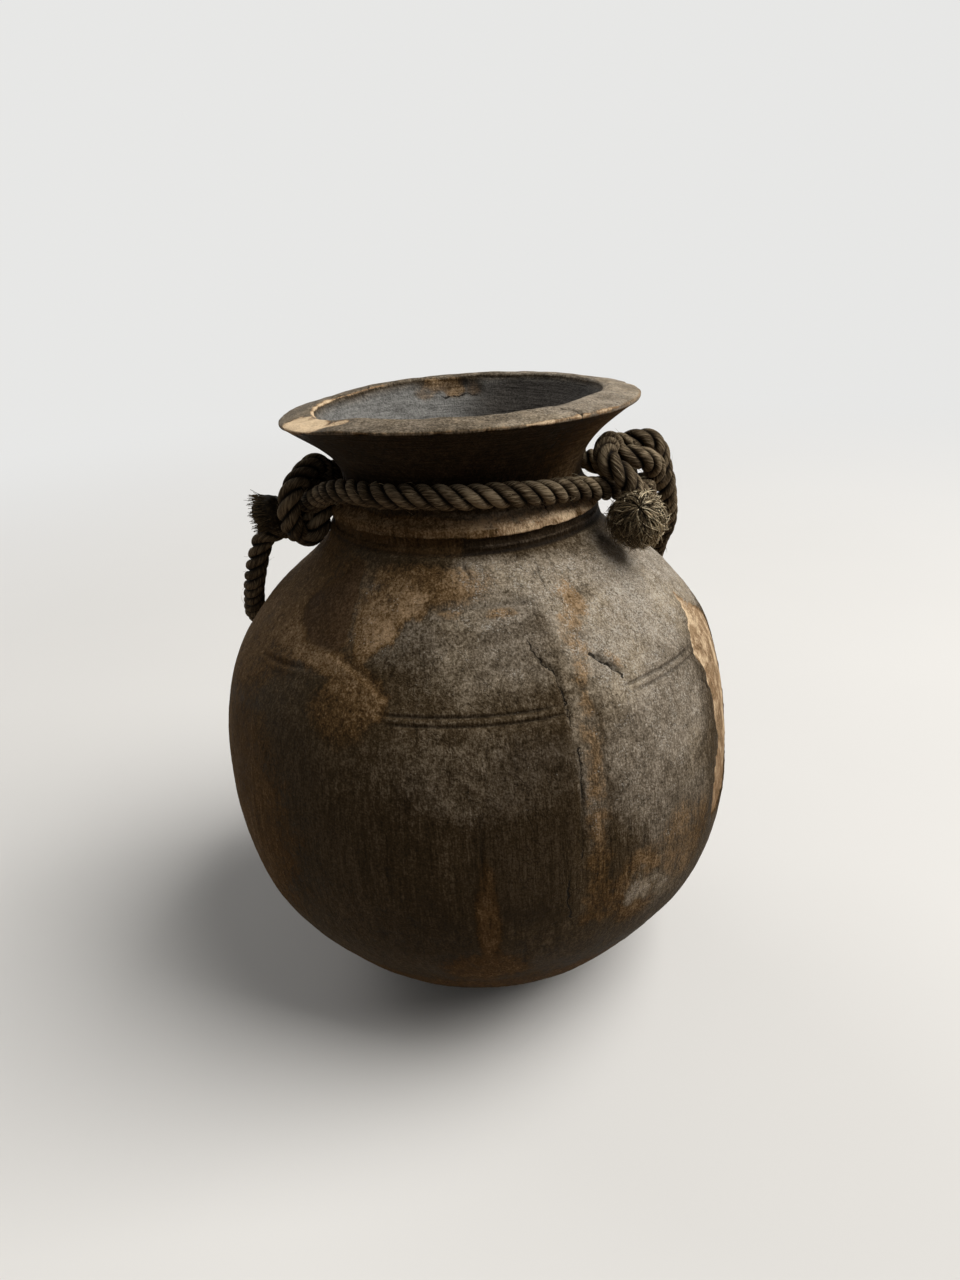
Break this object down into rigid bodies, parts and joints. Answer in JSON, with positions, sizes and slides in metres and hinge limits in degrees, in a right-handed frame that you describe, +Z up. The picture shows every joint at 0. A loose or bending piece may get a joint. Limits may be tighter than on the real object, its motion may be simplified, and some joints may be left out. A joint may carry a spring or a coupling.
{
  "type": "rope-handled round pot",
  "caption": "Round-bellied turned wooden pot with a flared rim, a rope knotted round its neck, and a rope carry loop that swings up over the mouth.",
  "frame": {"origin": "middle of the flat foot, on the surface that the pot stands on", "axes": "+Z up along the turned axis, -Y towards the front that the picture shows, +X to that view's right"},
  "size_m": [0.226, 0.234, 0.2698],
  "materials": {
    "weathered_wood": "old dark patina, worn to bare brown and tan wood in places",
    "rope_fibre": "dusty laid plant-fibre rope",
    "frayed_fibre": "loose straw-coloured fibre ends"
  },
  "bodies": {
    "pot": {"pot_body": "weathered_wood", "neck_rope": "rope_fibre", "left_knot": "rope_fibre", "right_knot": "rope_fibre", "left_frayed_end": "frayed_fibre", "right_frayed_end": "frayed_fibre"},
    "carry_loop": {"carry_rope": "rope_fibre"}
  },
  "joints": [
    {"name": "carry_swing", "type": "hinge", "parent": "pot", "child": "carry_loop", "pos_m": [-0.081, 0.01, 0.212], "axis": [0.981, -0.0257, 0.1924], "range_deg": [0, 120]}
  ]
}
